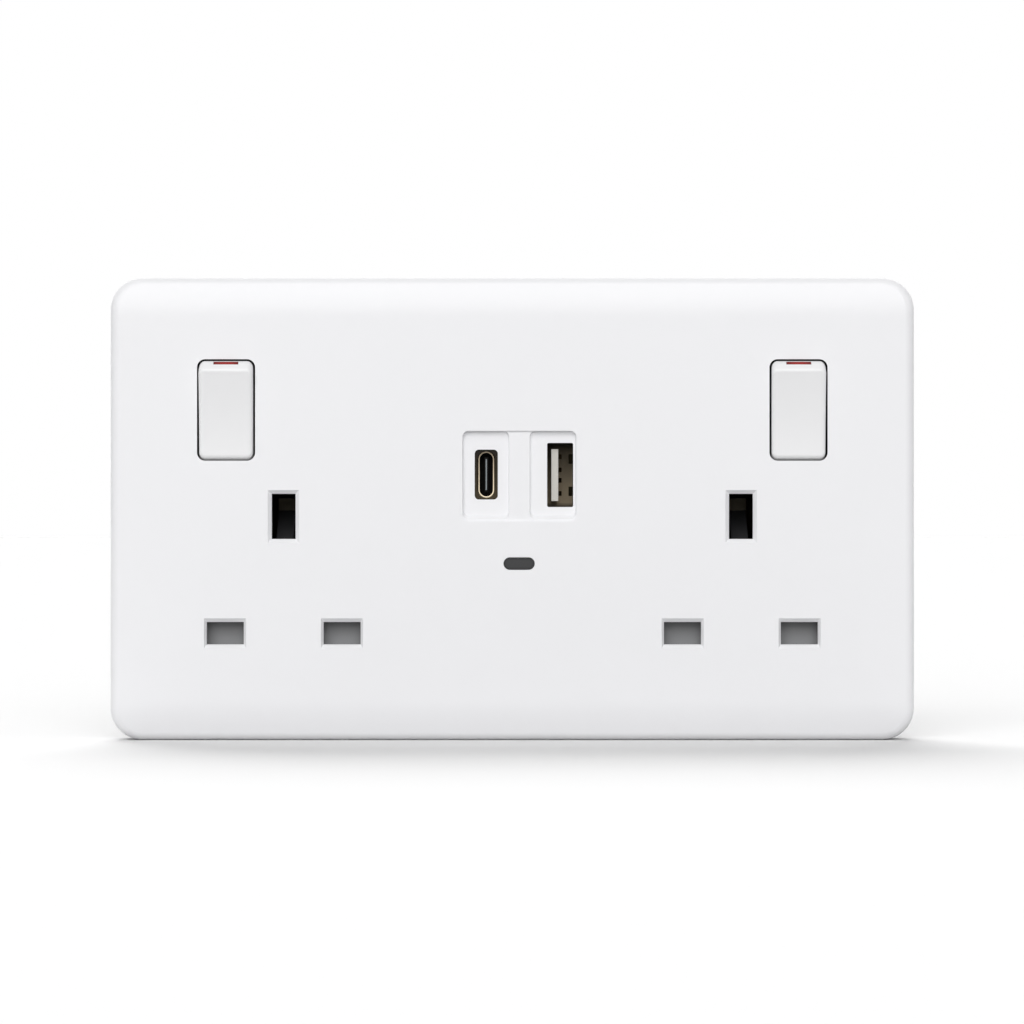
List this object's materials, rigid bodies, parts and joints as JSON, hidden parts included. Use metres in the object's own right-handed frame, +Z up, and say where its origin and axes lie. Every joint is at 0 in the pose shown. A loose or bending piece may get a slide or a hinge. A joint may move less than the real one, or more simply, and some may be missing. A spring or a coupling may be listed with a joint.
{
  "type": "usb wall socket",
  "caption": "White switched wall socket for UK 13 A plugs with rocker switches, USB charging ports and a clip-on front",
  "frame": {"origin": "middle of the plate on the wall plane, midway between the two wall fixing holes", "axes": "+X to the right as seen from the room, +Y into the wall, +Z up"},
  "size_m": [0.153, 0.0332, 0.088],
  "materials": {
    "white_plastic": "smooth urea moulding, soft sheen",
    "black_plastic": "fine matt moulding",
    "grey_housing": "fine matt moulding",
    "red_plastic": "smooth",
    "grey_plastic": "smooth moulding",
    "spring_steel": "drawn wire",
    "brass_sheet": "stamped sheet",
    "brass_block": "machined",
    "circuit_board": "solder mask",
    "port_steel": "tinned sheet",
    "gilt_metal": "plated",
    "pale_plastic": "smooth moulding",
    "dark_collar": "smooth moulding",
    "smoked_lens": "smooth",
    "lamp_epoxy": "clear epoxy",
    "ferrite": "pressed ferrite",
    "winding_tape": "film tape",
    "can_sleeve": "shrink sleeve",
    "screw_steel": "zinc plated"
  },
  "bodies": {
    "housing": {"cover_plate": "white_plastic", "carrier": "black_plastic", "control_chip": "black_plastic", "rear_housing": "grey_housing", "shutter_spring_left": "spring_steel", "shutter_spring_right": "spring_steel", "switched_live_left": "brass_sheet", "switched_live_right": "brass_sheet", "live_busbar": "brass_sheet", "neutral_busbar": "brass_sheet", "earth_strap": "brass_sheet", "terminal_neutral": "brass_block", "terminal_earth_left": "brass_block", "terminal_earth_right": "brass_block", "terminal_live": "brass_block", "usb_board": "circuit_board", "usb_a_shell": "port_steel", "usb_c_plate": "port_steel", "usb_a_contacts": "gilt_metal", "usb_c_shell": "gilt_metal", "usb_a_tongue": "pale_plastic", "usb_c_collar": "dark_collar", "usb_c_tongue": "dark_collar", "indicator_lens": "smoked_lens", "indicator_lamp": "lamp_epoxy", "transformer_core": "ferrite", "inductor": "ferrite", "transformer_winding": "winding_tape", "capacitors": "can_sleeve", "terminal_screws": "screw_steel", "assembly_screws": "screw_steel", "board_screws": "screw_steel"},
    "rocker_left": {"rocker_left": "white_plastic", "rocker_flag_left": "red_plastic", "plunger_spring_left": "spring_steel"},
    "plunger_left": {"plunger_left": "grey_plastic"},
    "moving_contact_left": {"moving_contact_left": "brass_sheet"},
    "shutter_left": {"shutter_left": "grey_plastic", "shutter_cam_left": "black_plastic"},
    "rocker_right": {"rocker_right": "white_plastic", "rocker_flag_right": "red_plastic", "plunger_spring_right": "spring_steel"},
    "plunger_right": {"plunger_right": "grey_plastic"},
    "moving_contact_right": {"moving_contact_right": "brass_sheet"},
    "shutter_right": {"shutter_right": "grey_plastic", "shutter_cam_right": "black_plastic"}
  },
  "joints": [
    {"name": "rocker_left", "type": "hinge", "parent": "housing", "child": "rocker_left", "pos_m": [-0.0544, -0.005, 0.0188], "axis": [1, 0, 0], "range_deg": [-12, 0]},
    {"name": "moving_contact_left", "type": "hinge", "parent": "housing", "child": "moving_contact_left", "pos_m": [-0.0544, 0.0053, 0.0188], "axis": [1, 0, 0], "range_deg": [0, 18]},
    {"name": "plunger_left", "type": "slide", "parent": "rocker_left", "child": "plunger_left", "axis": [0, -0.9945, -0.1045], "range_m": [0, 0.0003], "stiffness_N_per_m": 200, "springref_m": -0.003, "deforming": ["plunger_spring_left"]},
    {"name": "shutter_left", "type": "slide", "parent": "housing", "child": "shutter_left", "axis": [0, 0, -1], "range_m": [0, 0.0052], "stiffness_N_per_m": 120, "springref_m": -0.008, "deforming": ["shutter_spring_left"]},
    {"name": "rocker_right", "type": "hinge", "parent": "housing", "child": "rocker_right", "pos_m": [0.0544, -0.005, 0.0188], "axis": [1, 0, 0], "range_deg": [-12, 0]},
    {"name": "moving_contact_right", "type": "hinge", "parent": "housing", "child": "moving_contact_right", "pos_m": [0.0544, 0.0053, 0.0188], "axis": [1, 0, 0], "range_deg": [0, 18]},
    {"name": "plunger_right", "type": "slide", "parent": "rocker_right", "child": "plunger_right", "axis": [0, -0.9945, -0.1045], "range_m": [0, 0.0003], "stiffness_N_per_m": 200, "springref_m": -0.003, "deforming": ["plunger_spring_right"]},
    {"name": "shutter_right", "type": "slide", "parent": "housing", "child": "shutter_right", "axis": [0, 0, -1], "range_m": [0, 0.0052], "stiffness_N_per_m": 120, "springref_m": -0.008, "deforming": ["shutter_spring_right"]}
  ],
  "couplings": [
    {"joint": "moving_contact_left", "follows": "rocker_left", "ratio": -1.5},
    {"joint": "moving_contact_right", "follows": "rocker_right", "ratio": -1.5}
  ]
}
